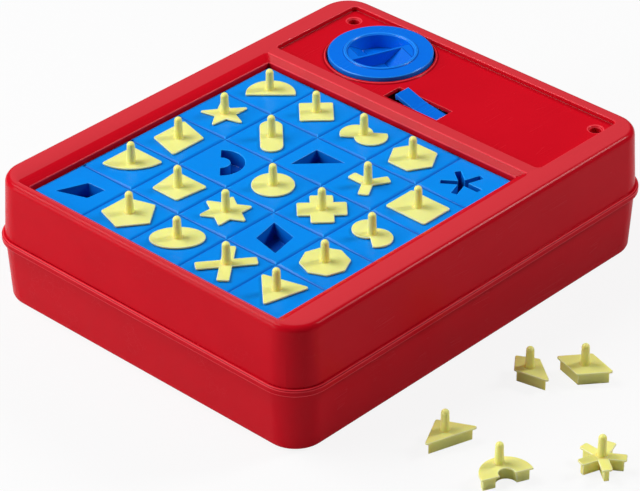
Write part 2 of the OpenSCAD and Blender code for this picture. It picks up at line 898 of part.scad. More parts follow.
// Arbor with journals in both plates and a pinion from pinion_z upwards.
module arbor(pinion_z, pinion_turn) {
    low = plate_low_z - 0.8;
    boss(low, plate_top_z + plate_t + 0.8, arbor_r);
    translate([0, 0, pinion_z - 0.7])
        linear_extrude(wheel_t + 1.4)
            toothed_2d(pinion_teeth, pinion_turn);
}

module second_wheel() {
    color(brass)
        translate([dial_x, second_y, 0]) {
            arbor(great_z, 90 + 180 / pinion_teeth);
            translate([0, 0, second_z])
                spoked_wheel(wheel_teeth, -90, 0.6);
        }
}

module escape_wheel() {
    step = 360 / escape_teeth;
    color(brass)
        translate([dial_x, escape_y, 0]) {
            arbor(second_z, 90 + 180 / pinion_teeth);
            translate([0, 0, escape_z])
                linear_extrude(wheel_t)
                    polygon([for (k = [0:escape_teeth - 1])
                        each [polar(escape_r - 2.2, step * k), polar(escape_r, step * (k + 0.75)),
                            polar(escape_r - 0.2, step * (k + 0.85))]]);
        }
}

// Rocking lever with two pallets that stand just outside the escape wheel's teeth.
module pallet_lever() {
    to = [dial_x, escape_y] - pallet_at;
    aim = atan2(to.y, to.x);
    reach = escape_r + 1.3;
    tips = [for (side = [-1, 1]) [norm(to), 0] + polar(reach, 180 + 40 * side)];
    color(brass)
        translate([pallet_at.x, pallet_at.y, 0]) {
            boss(plate_low_z - 0.8, plate_top_z + plate_t + 0.8, arbor_r);
            rotate(aim)
                translate([0, 0, escape_z])
                    linear_extrude(wheel_t) {
                        circle(2.8);
                        polygon([[-2, -1.2], [1, -2.6], tips[1] + [-1.2, -0.8], tips[1] + [0.3, 0.2],
                            tips[1] + [-0.6, 1], [2.2, 0], tips[0] + [-0.6, -1], tips[0] + [0.3, -0.2],
                            tips[0] + [-1.2, 0.8], [1, 2.6], [-2, 1.2]]);
                        translate([-4, 0])
                            square([6, 1.8], center = true);
                        translate([-7.6, 0])
                            circle(2.2);
                    }
        }
}

module mainspring() {
    strip = 0.6;
    inner = shaft_r + 0.35;
    outer = 18.4;
    turns = 5;
    steps = 24;
    n = turns * steps;
    color(steel)
        translate([dial_x, dial_y, plate_low_z + plate_t + 2])
            linear_extrude(escape_z - plate_low_z - 2 * plate_t - 0.8)
                polygon(concat(
                    [for (i = [0:n]) polar(inner + (outer - inner) * i / n, 360 * i / steps)],
                    [for (i = [n:-1:0]) polar(inner + strip + (outer - inner) * i / n, 360 * i / steps)]));
}

module timer_frame() {
    run = 0.08;
    spring_post_r = 1.6;
    color(steel)
        difference() {
            union() {
                for (z = [plate_low_z, plate_top_z])
                    translate([dial_x, (frame_y0 + frame_y1) / 2, z])
                        linear_extrude(plate_t)
                            rounded_rect(2 * frame_half, frame_y1 - frame_y0, 4);
                at_each(FRAME_PILLARS)
                    boss(plate_low_z + eps, plate_top_z + plate_t - eps, pillar_r);
                // Post that holds the outer end of the mainspring.
                translate([dial_x + 18.4 + 0.6 + fit + spring_post_r, dial_y, 0])
                    boss(plate_low_z + eps, great_z - 1, spring_post_r);
            }
            translate([dial_x, dial_y, 0])
                boss(0, case_h, shaft_r + run);
            for (at = [[dial_x, second_y], [dial_x, escape_y], pallet_at])
                translate([at.x, at.y, 0])
                    boss(0, case_h, arbor_r + run);
            at_each(FRAME_SCREWS)
                boss(0, case_h, screw_r + 0.2);
        }
}

// ---- Fasteners ----

// Pan-head screw with its shank pointing up from z = 0 and its head below.
module screw(len) {
    boss(-eps, len, screw_r);
    difference() {
        translate([0, 0, -screw_head_t])
            rotate_extrude()
                polygon([[0, 0], [screw_head_r - 0.9, 0], [screw_head_r - 0.2, 0.6],
                    [screw_head_r, screw_head_t], [0, screw_head_t]]);
        for (turn = [0, 90])
            rotate(turn)
                cube([0.7, 3, 2], center = true);
    }
}

module timer_screws() {
    color(steel)
        at_each(FRAME_SCREWS, plate_top_z)
            screw(plate_t + 4.5);
}

module case_screws() {
    color(steel) {
        at_each(BASE_SCREWS, boss_z - screw_len + 6)
            screw(screw_len);
        at_each(TOP_SCREWS, boss_z + 4)
            mirror([0, 0, 1])
                screw(screw_len);
    }
}

// ---- Start switch ----

module pin_line(r, len) {
    translate([window_x - len / 2, pin_y, rocker_z])
        rotate([0, 90, 0])
            cylinder(r = r, h = len, $fn = 32);
}
module switch_ears() {
    for (side = [-1, 1])
        translate([window_x + side * (window_wid / 2 + 1.6) - 1.2, pin_y - 3.5, rocker_z - 3.4])
            cube([2.4, 7, panel_z - rocker_z + 3.4 - 0.5]);
}
module switch_pin() {
    color(steel)
        pin_line(pin_r, window_wid + 5);
}

// Rocker whose top is a shallow vee; its far half stands up out of the window.
module start_switch() {
    half = window_len / 2 - 4.4;
    width = window_wid - 2 * rocker_gap;
    lift = pin_r + 1.3;
    tilt = rocker_vee / 2;
    hub = 2.6;
    up = [0, lift];
    wing = [
        up + polar(half - 2.4, tilt) - [0, rocker_t], up + polar(half - 0.6, tilt) - [0, rocker_t + 1.2],
        up + polar(half + 0.2, tilt - 5), up + polar(half, tilt)
    ];
    color(blue)
        translate([window_x, pin_y, rocker_z])
            rotate([rocker_lean, 0, 0])
                difference() {
                    rotate([90, 0, 90])
                        translate([0, 0, -width / 2])
                            linear_extrude(width) {
                                polygon(concat(
                                    [[0, lift - rocker_t - 0.4]],
                                    wing,
                                    [[0, lift]],
                                    [for (k = [len(wing) - 1:-1:0]) [-wing[k].x, wing[k].y]]));
                                circle(hub);
                                translate([-1, -7.4])
                                    square([2, 7]);
                            }
                    rotate([0, 90, 0])
                        cylinder(r = pin_r + 0.06, h = 40, center = true, $fn = 32);
                }
}

// ---- Latch ----

module latch_slide() {
    color(steel)
        translate([0, dial_y - latch_w / 2, latch_z]) {
            translate([latch_x0, 0, 0])
                cube([latch_x1 - latch_x0, latch_w, latch_t]);
            // Tab that the return spring pushes.
            translate([latch_tab_x, 0, eps])
                cube([latch_tab_t, latch_w, latch_t + 6.4]);
        }
}

module latch_spring() {
    len = latch_tab_x - stop_x - stop_t - 2 * fit;
    color(steel)
        translate([stop_x + stop_t + fit, dial_y, latch_z + latch_t + 3.6])
            rotate([0, 90, 0])
                coil(2.2, 0.7, len, 6, 10);
}

case_bottom();
case_top();
pop_up_tray();
tray_springs();
placed_piece("kite");  // piece_kite
placed_piece("sector");  // piece_sector
placed_piece("parallelogram");  // piece_parallelogram
placed_piece("star");  // piece_star
placed_piece("dome");  // piece_dome
placed_piece("pentagon");  // piece_pentagon
placed_piece("trapezoid");  // piece_trapezoid
placed_piece("half_ring");  // piece_half_ring
placed_piece("pill");  // piece_pill
placed_piece("square");  // piece_square
placed_piece("oval");  // piece_oval
placed_piece("six_star");  // piece_six_star
placed_piece("round");  // piece_round
placed_piece("right_triangle");  // piece_right_triangle
placed_piece("wave");  // piece_wave
placed_piece("saltire");  // piece_saltire
placed_piece("rhombus");  // piece_rhombus
placed_piece("plus");  // piece_plus
placed_piece("tripod");  // piece_tripod
placed_piece("hexagon");  // piece_hexagon
placed_piece("triangle");  // piece_triangle
placed_piece("octagon");  // piece_octagon
placed_piece("scroll");  // piece_scroll
placed_piece("rectangle");  // piece_rectangle
placed_piece("asterisk");  // piece_asterisk
timer_dial();
dial_shaft();
great_wheel();
second_wheel();
escape_wheel();
pallet_lever();
mainspring();
timer_frame();
timer_screws();
start_switch();
switch_pin();
latch_slide();
latch_spring();
case_screws();
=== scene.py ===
"""Looks of a clockwork shape-matching game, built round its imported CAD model."""

import json
import logging
import math
from dataclasses import dataclass, field
from enum import Enum
from typing import ClassVar, Sequence

import bmesh
import bpy
from mathutils import Matrix, Vector


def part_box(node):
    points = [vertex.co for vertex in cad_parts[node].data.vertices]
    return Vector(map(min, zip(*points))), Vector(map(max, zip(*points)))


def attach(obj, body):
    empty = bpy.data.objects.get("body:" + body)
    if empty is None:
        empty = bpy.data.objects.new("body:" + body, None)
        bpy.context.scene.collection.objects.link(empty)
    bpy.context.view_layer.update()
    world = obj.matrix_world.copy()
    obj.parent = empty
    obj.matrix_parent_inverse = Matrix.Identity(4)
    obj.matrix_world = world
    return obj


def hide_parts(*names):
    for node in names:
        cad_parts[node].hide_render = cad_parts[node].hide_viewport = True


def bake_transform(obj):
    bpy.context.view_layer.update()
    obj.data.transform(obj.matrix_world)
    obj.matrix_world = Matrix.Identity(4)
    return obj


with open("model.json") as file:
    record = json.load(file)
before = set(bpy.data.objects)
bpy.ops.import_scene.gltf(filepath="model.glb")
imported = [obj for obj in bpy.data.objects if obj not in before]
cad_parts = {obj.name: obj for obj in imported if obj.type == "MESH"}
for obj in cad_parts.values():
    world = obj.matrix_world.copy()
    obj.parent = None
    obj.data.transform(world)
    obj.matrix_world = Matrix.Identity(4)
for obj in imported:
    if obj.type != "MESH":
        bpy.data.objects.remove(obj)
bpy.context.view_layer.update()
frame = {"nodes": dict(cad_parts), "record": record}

log = logging.getLogger("shape_game")
logging.basicConfig(level=logging.INFO, format="%(message)s")

Triple = tuple[float, float, float]
MM = 0.001


# ---------------------------------------------------------------------------
# Shader graphs
# ---------------------------------------------------------------------------


class Value:
    """A number at a node's socket, on which Python's operators add Math nodes."""

    def __init__(self, tree: "Tree", socket: bpy.types.NodeSocket) -> None:
        """Wraps a socket of a tree.

        Args:
            tree: The tree that new nodes go into.
            socket: The output that carries the number.
        """
        self.tree = tree
        self.socket = socket

    def _maths(self, operation: str, first: "Value | float", second: "Value | float") -> "Value":
        """Adds a Math node.

        Args:
            operation: The Math node's operation.
            first: The first operand.
            second: The second operand.

        Returns:
            The node's result.
        """
        node = self.tree.node("ShaderNodeMath", {"operation": operation}, {0: first, 1: second})
        return Value(self.tree, node.outputs[0])

    def __add__(self, other: "Value | float") -> "Value":
        """Returns the sum."""
        return self._maths("ADD", self, other)

    def __radd__(self, other: float) -> "Value":
        """Returns the sum."""
        return self._maths("ADD", other, self)

    def __sub__(self, other: "Value | float") -> "Value":
        """Returns the difference."""
        return self._maths("SUBTRACT", self, other)

    def __rsub__(self, other: float) -> "Value":
        """Returns the difference from a number."""
        return self._maths("SUBTRACT", other, self)

    def __mul__(self, other: "Value | float") -> "Value":
        """Returns the product."""
        return self._maths("MULTIPLY", self, other)

    def __rmul__(self, other: float) -> "Value":
        """Returns the product."""
        return self._maths("MULTIPLY", other, self)

    def __truediv__(self, other: "Value | float") -> "Value":
        """Returns the quotient."""
        return self._maths("DIVIDE", self, other)

    def __rtruediv__(self, other: float) -> "Value":
        """Returns a number divided by this."""
        return self._maths("DIVIDE", other, self)

    def at_least(self, other: "Value | float") -> "Value":
        """Returns the larger of the two."""
        return self._maths("MAXIMUM", self, other)

    def at_most(self, other: "Value | float") -> "Value":
        """Returns the smaller of the two."""
        return self._maths("MINIMUM", self, other)

    def ramp(self, low: float, high: float) -> "Value":
        """Stretches the span from low to high over 0 to 1, smoothly and clamped.

        Args:
            low: The value that becomes 0.
            high: The value that becomes 1.

        Returns:
            The stretched value.
        """
        node = self.tree.node(
            "ShaderNodeMapRange",
            {"interpolation_type": "SMOOTHSTEP", "clamp": True},
            {"Value": self, "From Min": low, "From Max": high},
        )
        return Value(self.tree, node.outputs["Result"])


class Tree:
    """A node tree that is filled from Python."""

    def __init__(self, tree: bpy.types.NodeTree) -> None:
        """Takes an empty tree.

        Args:
            tree: The tree.
        """
        self.tree = tree

    def node(self, kind: str, settings: dict | None = None, inputs: dict | None = None) -> bpy.types.Node:
        """Adds any node.

        Args:
            kind: The node's type.
            settings: Its properties, set before its sockets.
            inputs: Values or links, by the socket's name or number.

        Returns:
            The new node.
        """
        node = self.tree.nodes.new(kind)
        for key, value in (settings or {}).items():
            setattr(node, key, value)
        for key, value in (inputs or {}).items():
            self.feed(node.inputs[key], value)
        return node

    def feed(self, socket: bpy.types.NodeSocket, value: object) -> None:
        """Links a socket, or sets its constant.

        Args:
            socket: The input to fill.
            value: A Value, an output socket or a constant.
        """
        if isinstance(value, Value):
            self.tree.links.new(value.socket, socket)
        elif isinstance(value, bpy.types.NodeSocket):
            self.tree.links.new(value, socket)
        else:
            socket.default_value = value


class Graph(Tree):
    """The node tree of one material, with its Principled shader."""

    def __init__(self, name: str) -> None:
        """Makes the material and clears its tree.

        Args:
            name: The material's name.
        """
        self.material = bpy.data.materials.new(name)
        self.material.use_nodes = True
        super().__init__(self.material.node_tree)
        self.tree.nodes.clear()
        self.output = self.node("ShaderNodeOutputMaterial")
        self.shader = self.node("ShaderNodeBsdfPrincipled")
        self.feed(self.output.inputs["Surface"], self.shader.outputs["BSDF"])
        self.place = self.node("ShaderNodeTexCoord").outputs["Object"]

    def noise(self, scale: float, detail: float = 2.0, stretch: Triple = (1, 1, 1)) -> Value:
        """Adds noise on the piece's own coordinates.

        Args:
            scale: Features per metre.
            detail: Octaves.
            stretch: Scale along each axis.

        Returns:
            The noise, about 0.5 in the middle.
        """
        mapped = self.node("ShaderNodeMapping", {}, {"Vector": self.place, "Scale": stretch})
        node = self.node(
            "ShaderNodeTexNoise", {}, {"Vector": mapped.outputs[0], "Scale": scale, "Detail": detail})
        return Value(self, node.outputs["Fac"])

    def specks(self, scale: float, size: float) -> Value:
        """Scatters small spots.

        Args:
            scale: Spots per metre.
            size: Radius of a spot, in spaces between spots.

        Returns:
            1 on a spot and 0 elsewhere.
        """
        node = self.node("ShaderNodeTexVoronoi", {}, {"Vector": self.place, "Scale": scale})
        return 1 - Value(self, node.outputs["Distance"]).ramp(size * 0.6, size)

    def scratches(self, scale: float, lean: float) -> Value:
        """Draws thin straight hairlines, broken off here and there.

        Args:
            scale: Lines per metre, across them.
            lean: Turn of the lines about Z, in radians.

        Returns:
            1 on a hairline and 0 elsewhere.
        """
        turned = self.node(
            "ShaderNodeMapping", {},
            {"Vector": self.place, "Rotation": (0, 0, lean), "Scale": (0.04, 1, 1)})
        node = self.node(
            "ShaderNodeTexVoronoi", {"feature": "DISTANCE_TO_EDGE"},
            {"Vector": turned.outputs[0], "Scale": scale})
        line = 1 - Value(self, node.outputs["Distance"]).ramp(0.004, 0.012)
        return line * self.noise(60, 1).ramp(0.55, 0.62)

    def height(self) -> Value:
        """Returns the height over the table, in metres."""
        return Value(self, self.node("ShaderNodeSeparateXYZ", {}, {0: self.place}).outputs[2])

    def attribute(self, name: str) -> Value:
        """Reads a number stored on the mesh.

        Args:
            name: The attribute's name.

        Returns:
            Its value.
        """
        node = self.node("ShaderNodeAttribute", {"attribute_name": name})
        return Value(self, node.outputs["Fac"])

    def mix(self, factor: Value, first: object, second: object) -> bpy.types.NodeSocket:
        """Mixes two colours.

        Args:
            factor: 0 for the first, 1 for the second.
            first: A colour or a colour socket.
            second: A colour or a colour socket.

        Returns:
            The mixed colour.
        """
        node = self.node("ShaderNodeMix", {"data_type": "RGBA"})
        self.feed(node.inputs[0], factor)
        for socket, colour in ((node.inputs[6], first), (node.inputs[7], second)):
            self.feed(socket, (*colour, 1.0) if isinstance(colour, tuple) else colour)
        return node.outputs[2]

    def bump(self, height: Value, depth: float) -> bpy.types.NodeSocket:
        """Turns a height into a bent normal.

        Args:
            height: The height, in units of depth.
            depth: What a height of 1 measures, in metres.

        Returns:
            The normal.
        """
        return self.node("ShaderNodeBump", {}, {"Height": height, "Distance": depth}).outputs[0]

    def finish(self, values: dict) -> bpy.types.Material:
        """Fills the shader's sockets.

        Args:
            values: Constants or links, by socket name.

        Returns:
            The finished material.
        """
        for key, value in values.items():
            self.feed(self.shader.inputs[key], value)
        return self.material


class Recipe(Tree):
    """A Geometry Nodes tree with named sizes, which is baked into plain meshes."""

    def __init__(self, name: str, sizes: Sequence[str]) -> None:
        """Makes the tree with its inputs.

        Args:
            name: The tree's name.
            sizes: Names of its inputs, all lengths in metres or counts.
        """
        super().__init__(bpy.data.node_groups.new(name, "GeometryNodeTree"))
        face = self.tree.interface
        face.new_socket("Places", in_out="INPUT", socket_type="NodeSocketGeometry")
        for size in sizes:
            face.new_socket(size, in_out="INPUT", socket_type="NodeSocketFloat")
        face.new_socket("Mesh", in_out="OUTPUT", socket_type="NodeSocketGeometry")
        self.source = self.node("NodeGroupInput")

    def size(self, name: str) -> Value:
        """Returns one of the inputs.

        Args:
            name: The input's name.
        """
        return Value(self, self.source.outputs[name])

    def vector(self, x: object = 0.0, y: object = 0.0, z: object = 0.0) -> bpy.types.NodeSocket:
        """Returns a vector of three numbers.

        Args:
            x: Its first part.
            y: Its second part.
            z: Its third part.
        """
        return self.node("ShaderNodeCombineXYZ", {}, {0: x, 1: y, 2: z}).outputs[0]

    def swept(self, path: bpy.types.NodeSocket, profile: bpy.types.NodeSocket) -> bpy.types.NodeSocket:
        """Sweeps a closed profile along a path, with its ends capped.

        Args:
            path: The curve to follow.
            profile: The curve to sweep.

        Returns:
            The mesh.
        """
        return self.node(
            "GeometryNodeCurveToMesh", {},
            {"Curve": path, "Profile Curve": profile, "Fill Caps": True}).outputs[0]

    def close(self, shape: bpy.types.NodeSocket, finish: "Finish") -> None:
        """Repeats the shape at every place, turned as each says, and ends the tree.

        Args:
            shape: The geometry to repeat.
            finish: Its finish.
        """
        turn = self.node("GeometryNodeInputNamedAttribute", {"data_type": "FLOAT_VECTOR"}, {"Name": TURN})
        angle = self.node("FunctionNodeEulerToRotation", {}, {0: turn.outputs["Attribute"]})
        copies = self.node(
            "GeometryNodeInstanceOnPoints", {},
            {"Points": self.source.outputs["Places"], "Instance": shape, "Rotation": angle.outputs[0]})
        real = self.node("GeometryNodeRealizeInstances", {}, {0: copies.outputs[0]})
        painted = self.node(
            "GeometryNodeSetMaterial", {},
            {"Geometry": real.outputs[0], "Material": Workshop.material(finish)})
        self.node("NodeGroupOutput", {}, {0: painted.outputs[0]})

    def bake(self, name: str, sizes: dict[str, float], places: Sequence[Triple],
             turns: Sequence[Triple]) -> bpy.types.Object:
        """Runs the tree at some places.

        Args:
            name: The new piece's name.
            sizes: Values of the tree's inputs.
            places: Where the shape is repeated.
            turns: Its turn at each place, in radians about X, Y and Z.

        Returns:
            The piece, a plain mesh.
        """
        mesh = bpy.data.meshes.new(name + "_places")
        mesh.from_pydata(places, [], [])
        stored = mesh.attributes.new(TURN, "FLOAT_VECTOR", "POINT")
        stored.data.foreach_set("vector", [part for turn in turns for part in turn])
        host = placed(name + "_host", mesh)
        modifier = host.modifiers.new("recipe", "NODES")
        modifier.node_group = self.tree
        for item in self.tree.interface.items_tree:
            if item.in_out == "INPUT" and item.name in sizes:
                modifier[item.identifier] = sizes[item.name]
        made = evaluated(host)
        host.modifiers.remove(modifier)
        bpy.data.objects.remove(host)
        return placed(name, made)


EDGE_WEAR_AND_LIGHT = "edge_wear_and_light"
TURN = "turn"


# ---------------------------------------------------------------------------
# Finishes
# ---------------------------------------------------------------------------


@dataclass(frozen=True)
class MouldedPlastic:
    """Injection-moulded plastic."""

    name: str
    colour: Triple
    deep: Triple
    # Edge colour: convex rounded edges are lighter, partly for wear and partly as painted highlight.
    edge: Triple
    # Crease colour: painted shade in concave rounded edges.
    crease_shade: Triple
    roughness: float = 0.26
    gloss: float = 0.3
    scatter: float = 0.0
    scatter_colour: Triple = (1.0, 0.3, 0.1)
    wear: float = 1.0
    ripple: float = 0.00006
    # Painted highlight on the rim top: above this height the colour fades over to a lighter highlight
    # colour.
    painted_highlight_above: float | None = None
    painted_highlight_colour: Triple = (1.0, 1.0, 1.0)
    painted_highlight_fade: float = 0.2 * MM
    # Painted shade in the tray's grooves and sockets: below this top height the colour darkens towards the
    # recess shade colour.
    shade_brim: float | None = None
    recess_shade: Triple = (0.0, 0.0, 0.0)
    groove_shade_depth: float = 0.55 * MM
    groove_shade_start: float = 0.05 * MM
    well_shade_depth: float = 9 * MM
    well_shade_start: float = 1 * MM

    def material(self) -> bpy.types.Material:
        """Returns the material: flow lines, ripple, hairlines, dust, edges lighter for wear and painted
        highlight, painted shade in creases, and, where set, a painted highlight on the rim top and painted
        shade in grooves and wells.
        """
        graph = Graph(self.name)
        flow = graph.noise(16, 3, (1.0, 1.6, 2.4)).ramp(0.25, 0.75)
        cloud = graph.noise(60, 4).ramp(0.35, 0.75)
        grain = graph.noise(2600, 3)
        hair = graph.scratches(260, 0.5).at_least(graph.scratches(210, -1.1)) * self.wear
        dust = graph.specks(420, 0.07)
        # Convex rounded edges (1) get lighter for wear and painted highlight; concave ones (-1) get painted
        # shade.
        edge = graph.attribute(EDGE_WEAR_AND_LIGHT)
        edge_wear_and_highlight, shade_in_creases = edge.at_least(0.0), (0 - edge).at_least(0.0)
        body = graph.mix(flow * 0.6 + cloud * 0.2, self.colour, self.deep)
        rough = self.roughness + 0.03 * cloud + 0.12 * hair + 0.06 * dust - 0.03 * edge_wear_and_highlight
        # Painted highlight: the rim top is painted lighter by its height.
        if self.painted_highlight_above is not None:
            rim_highlight = graph.height().ramp(self.painted_highlight_above - self.painted_highlight_fade, self.painted_highlight_above)
            body = graph.mix(rim_highlight, body, self.painted_highlight_colour)
            rough = rough - 0.08 * rim_highlight
        # Painted shade: grooves and sockets are painted darker the deeper they lie below the tray's top.
        if self.shade_brim is not None:
            level = graph.height()
            shade_in_grooves = 1 - level.ramp(self.shade_brim - self.groove_shade_depth, self.shade_brim - self.groove_shade_start)
            shade_in_wells = 1 - level.ramp(self.shade_brim - self.well_shade_depth, self.shade_brim - self.well_shade_start)
            body = graph.mix(shade_in_grooves * 0.5 + shade_in_wells * 0.45, body, self.recess_shade)
        # Edges lighter for wear and painted highlight; hairlines lighter for wear.
        body = graph.mix(edge_wear_and_highlight * 0.8 + hair * 0.08, body, self.edge)
        # Painted shade in the creases.
        body = graph.mix(shade_in_creases * 0.7, body, self.crease_shade)
        relief = grain * 0.06 + graph.noise(30, 2) - hair * 0.03
        return graph.finish({
            "Base Color": body,
            "Roughness": rough,
            "IOR": 1.49,
            "Specular IOR Level": self.gloss,
            "Subsurface Weight": self.scatter,
            "Subsurface Radius": self.scatter_colour,
            "Subsurface Scale": 3 * MM,
            "Normal": graph.bump(relief, self.ripple),
        })


@dataclass(frozen=True)
class BareMetal:
    """Sheet, turned or drawn metal."""

    name: str
    colour: Triple
    tarnish: Triple
    roughness: float = 0.3
    brushed: Triple = (1, 12, 1)
    scale: float = 420.0

    def material(self) -> bpy.types.Material:
        """Returns the material: brush lines, tarnish in clouds and bright edges."""
        graph = Graph(self.name)
        lines = graph.noise(self.scale, 3, self.brushed)
        cloud = graph.noise(90, 4).ramp(0.45, 0.75)
        edge = graph.attribute(EDGE_WEAR_AND_LIGHT)
        body = graph.mix(cloud * 0.7 * (1 - edge), self.colour, self.tarnish)
        return graph.finish({
            "Base Color": body,
            "Metallic": 1.0,
            "Roughness": self.roughness + 0.22 * (lines - 0.5) + 0.18 * cloud,
            "Normal": graph.bump(lines, 0.00002),
        })


class Finish(Enum):
    """The finishes of the game, each made once."""

    # Each plastic's edge colour is lighter for wear and painted highlight, and its crease colour is painted
    # shade.
    RED_CASE = MouldedPlastic(
        "red_case_plastic", (0.61, 0.004, 0.014), (0.56, 0.003, 0.012), (0.85, 0.060, 0.080),
        # The rim top above 69.9 mm gets a painted highlight.
        (0.30, 0.001, 0.006), 0.22, gloss=0.07, wear=0.4, painted_highlight_above=69.9 * MM,
        painted_highlight_colour=(0.63, 0.036, 0.048))
    BLUE_TRAY = MouldedPlastic(
        "blue_tray_plastic", (0.0, 0.26, 0.86), (0.0, 0.23, 0.80), (0.02, 0.38, 1.0),
        (0.0, 0.10, 0.50), 0.3, gloss=0.2, scatter=0.05, scatter_colour=(0.1, 0.5, 1.0), wear=0.5,
        # Painted shade in the tray's grooves and sockets, below its top at 64.8 mm.
        shade_brim=64.8 * MM, recess_shade=(0.0, 0.06, 0.42))
    BLUE_DIAL = MouldedPlastic(
        "blue_dial_plastic", (0.0, 0.165, 0.80), (0.0, 0.15, 0.75), (0.02, 0.30, 0.95),
        (0.0, 0.07, 0.42), 0.24, gloss=0.25, scatter=0.05, scatter_colour=(0.1, 0.5, 1.0))
    YELLOW_PIECE = MouldedPlastic(
        "yellow_piece_plastic", (0.95, 0.91, 0.30), (0.93, 0.87, 0.25), (0.98, 0.96, 0.60),
        (0.88, 0.70, 0.14), 0.32, gloss=0.35, scatter=0.6, scatter_colour=(1.0, 0.8, 0.25), wear=0.2,
        ripple=0.00003)
    BRASS = BareMetal("clock_brass", (0.83, 0.62, 0.26), (0.50, 0.34, 0.13), 0.28)
    PLATE = BareMetal("plate_steel", (0.60, 0.61, 0.63), (0.36, 0.36, 0.37), 0.34)
    SPRING = BareMetal("spring_steel", (0.36, 0.37, 0.40), (0.20, 0.20, 0.22), 0.26, (1, 1, 30))
    SCREW = BareMetal("zinc_screw", (0.70, 0.71, 0.72), (0.50, 0.48, 0.42), 0.3, (6, 6, 1))


class Workshop:
    """Makes materials once and turns CAD nodes into finished pieces."""

    _materials: ClassVar[dict[str, bpy.types.Material]] = {}

    @classmethod
    def material(cls, finish: Finish) -> bpy.types.Material:
        """Returns the finish's material, made on first use.

        Args:
            finish: The finish.
        """
        if finish.name not in cls._materials:
            cls._materials[finish.name] = finish.value.material()
        return cls._materials[finish.name]

    @staticmethod
    def body_of(node: str) -> str:
        """Returns the name of the body that holds a CAD node.

        Args:
            node: The node's name.
        """
        bodies = frame["record"]["behaviour"]["bodies"]
        return next(body for body, nodes in bodies.items() if node in nodes)

    @staticmethod
    def slot_of(node: str) -> str:
        """Returns the record's material slot of a CAD node.

        Args:
            node: The node's name.
        """
        parts = frame["record"]["subparts"]
        return next(part["material_slot"] for part in parts if part["node"] == node)

    @classmethod
    def install(cls, piece: bpy.types.Object, node: str, finish: Finish,
                reach: "Reach | None" = None) -> None:
        """Dresses a piece and puts it in the place of a CAD node.

        Args:
            piece: The finished piece, in the frame's place.
            node: The CAD node that it stands for.
            finish: Its finish.
            reach: Given for a spring that spans two bodies; the piece is then baked in place and attached
                to no body.
        """
        piece.data.materials.clear()
        piece.data.materials.append(cls.material(finish))
        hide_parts(node)
        cls.slot_of(node)
        if reach is None:
            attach(piece, cls.body_of(node))
        else:
            cls.body_of(node)
            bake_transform(piece)
        log.info("%s: %d faces, %s", piece.name, len(piece.data.polygons), finish.name)


@dataclass(frozen=True)
class Reach:
    """The stretch of a spring that spans two bodies."""

    body: str
    start: Vector
    end: Vector


def placed(name: str, mesh: bpy.types.Mesh) -> bpy.types.Object:
    """Adds a mesh to the scene as an object at the origin.

    Args:
        name: The object's name.
        mesh: Its mesh.

    Returns:
        The object.
    """
    mesh.name = name
    made = bpy.data.objects.new(name, mesh)
    bpy.context.scene.collection.objects.link(made)
    return made


def evaluated(source: bpy.types.Object) -> bpy.types.Mesh:
    """Returns a plain mesh of an object with its modifiers applied.

    Args:
        source: The object.
    """
    graph = bpy.context.evaluated_depsgraph_get()
    return bpy.data.meshes.new_from_object(source.evaluated_get(graph), depsgraph=graph)


def islands(node: str) -> list[list[Vector]]:
    """Splits a CAD node into its separate solids.

    Args:
        node: The node's name.

    Returns:
        The corner points of each solid, in a fixed order of solids.
    """
    shape = bmesh.new()
    shape.from_mesh(frame["nodes"][node].data)
    bmesh.ops.remove_doubles(shape, verts=shape.verts, dist=2e-6)
    left = set(shape.verts)
    found = []
    while left:
        queue = [left.pop()]
        crowd = []
        while queue:
            at = queue.pop()
            crowd.append(at.co.copy())
            near = {edge.other_vert(at) for edge in at.link_edges} & left
            left -= near
            queue.extend(near)
        found.append(crowd)
    shape.free()
    return sorted(found, key=lambda crowd: tuple(corners(crowd)[0]))


def corners(points: Sequence[Vector]) -> tuple[Vector, Vector]:
    """Returns the lowest and highest corner of some points.

    Args:
        points: The points.
    """
    low = Vector([min(point[axis] for point in points) for axis in range(3)])
    high = Vector([max(point[axis] for point in points) for axis in range(3)])
    return low, high


@dataclass(frozen=True)
class Softening:
    """How the sharp edges of a moulded or stamped piece are rounded."""

    width: float
    segments: int = 2
    sharp_angle: float = math.radians(28)

    def apply(self, node: str) -> bpy.types.Object:
        """Copies a CAD node's mesh and rounds its edges.

        Args:
            node: The CAD node, which stays as it is.

        Returns:
            The new piece.
        """
        shape = bmesh.new()
        shape.from_mesh(frame["nodes"][node].data)
        bmesh.ops.remove_doubles(shape, verts=shape.verts, dist=2e-6)
        bmesh.ops.dissolve_degenerate(shape, edges=shape.edges, dist=2e-6)
        bmesh.ops.dissolve_limit(
            shape, angle_limit=math.radians(0.6), verts=shape.verts, edges=shape.edges)
        bmesh.ops.triangulate(shape, faces=shape.faces)
        layer = shape.faces.layers.float.new(EDGE_WEAR_AND_LIGHT)
        sharp = [
            edge for edge in shape.edges
            if len(edge.link_faces) == 2 and edge.calc_face_angle(0.0) > self.sharp_angle
        ]
        made = bmesh.ops.bevel(
            shape, geom=sharp, offset=self.width, offset_type="OFFSET", segments=self.segments,
            profile=0.5, affect="EDGES", clamp_overlap=False, loop_slide=False)
        # Convex bevel faces get 1, for edge wear and painted highlight; concave ones get -1, for painted
        # shade in creases.
        for face in made["faces"]:
            turn = sum(edge.calc_face_angle_signed(0.0) for edge in face.edges)
            face[layer] = 1.0 if turn > 0 else -1.0
        mesh = bpy.data.meshes.new(node)
        shape.to_mesh(mesh)
        shape.free()
        mesh.polygons.foreach_set("use_smooth", [True] * len(mesh.polygons))
        mesh.set_sharp_from_angle(angle=math.radians(40))
        rough = placed(node + "_rough", mesh)
        even = rough.modifiers.new("even_shading", "WEIGHTED_NORMAL")
        even.keep_sharp = True
        piece = placed(node + "_skin", evaluated(rough))
        rough.modifiers.remove(even)
        bpy.data.objects.remove(rough)
        return piece


